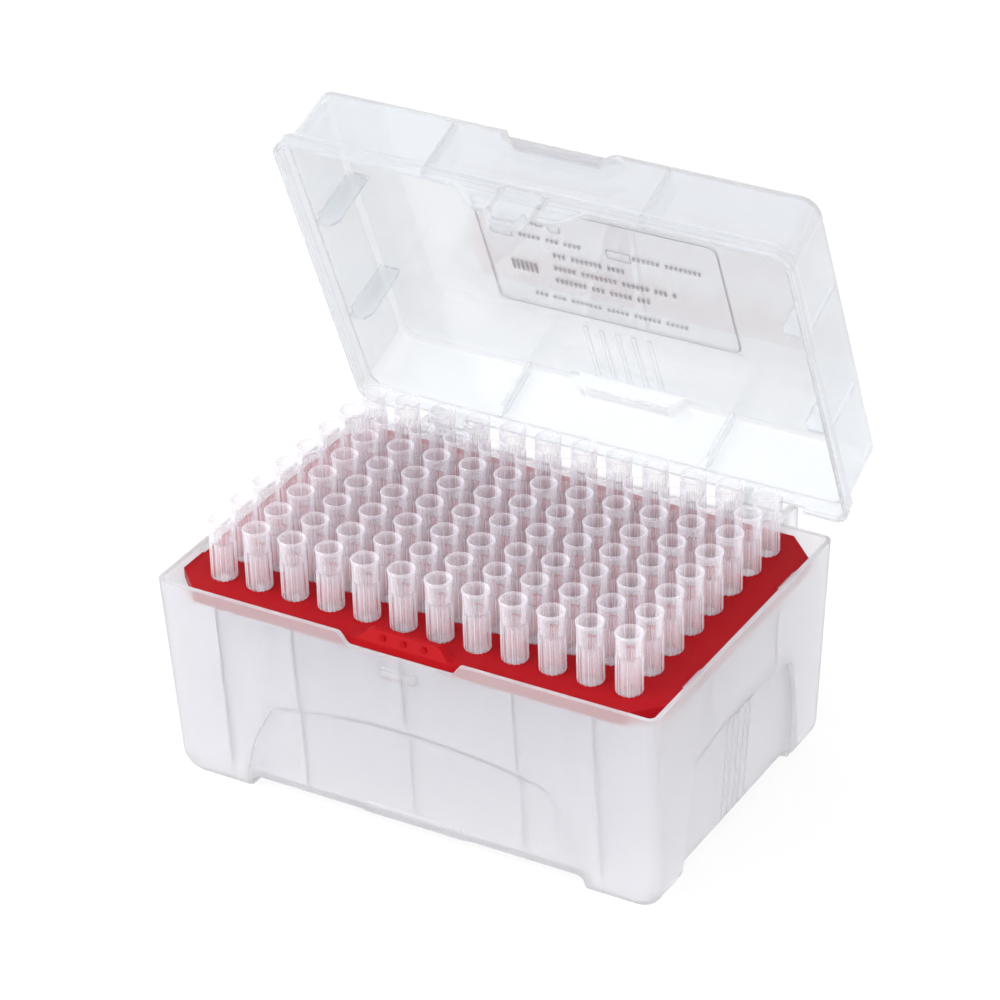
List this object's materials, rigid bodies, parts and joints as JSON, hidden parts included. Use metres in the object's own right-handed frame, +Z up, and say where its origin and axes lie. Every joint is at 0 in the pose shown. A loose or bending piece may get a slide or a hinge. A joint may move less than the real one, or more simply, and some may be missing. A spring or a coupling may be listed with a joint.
{
  "type": "box of pipette tips",
  "caption": "Translucent hinged box holding rows of ribbed filter pipette tips in a red rack, with the lid standing open over them.",
  "frame": {"origin": "centre of the base in plan, on the plane of its feet", "axes": "+X along the long walls, +Y towards the hinge, +Z up"},
  "size_m": [0.1248, 0.1059, 0.136],
  "materials": {
    "base_plastic": "translucent milky polypropylene, satin",
    "rack_plastic": "red polypropylene, satin gloss",
    "lid_plastic": "clear, slightly hazy polypropylene",
    "label_film": "clear film with plain grey print",
    "tip_plastic": "clear polypropylene, fine ribs",
    "filter_felt": "white porous plug"
  },
  "bodies": {
    "box": {"base": "base_plastic", "rack_plate": "rack_plastic", "tips_column_01": "tip_plastic", "tips_column_02": "tip_plastic", "tips_column_03": "tip_plastic", "tips_column_04": "tip_plastic", "tips_column_05": "tip_plastic", "tips_column_06": "tip_plastic", "tips_column_07": "tip_plastic", "tips_column_08": "tip_plastic", "tips_column_09": "tip_plastic", "tips_column_10": "tip_plastic", "tips_column_11": "tip_plastic", "tips_column_12": "tip_plastic", "filters_column_01": "filter_felt", "filters_column_02": "filter_felt", "filters_column_03": "filter_felt", "filters_column_04": "filter_felt", "filters_column_05": "filter_felt", "filters_column_06": "filter_felt", "filters_column_07": "filter_felt", "filters_column_08": "filter_felt", "filters_column_09": "filter_felt", "filters_column_10": "filter_felt", "filters_column_11": "filter_felt", "filters_column_12": "filter_felt"},
    "lid": {"lid": "lid_plastic", "label": "label_film"}
  },
  "joints": [
    {"name": "lid_hinge", "type": "hinge", "parent": "box", "child": "lid", "pos_m": [0, 0.04783, 0.04626], "axis": [-1, 0, 0], "range_deg": [-67.7, 52.3]}
  ]
}
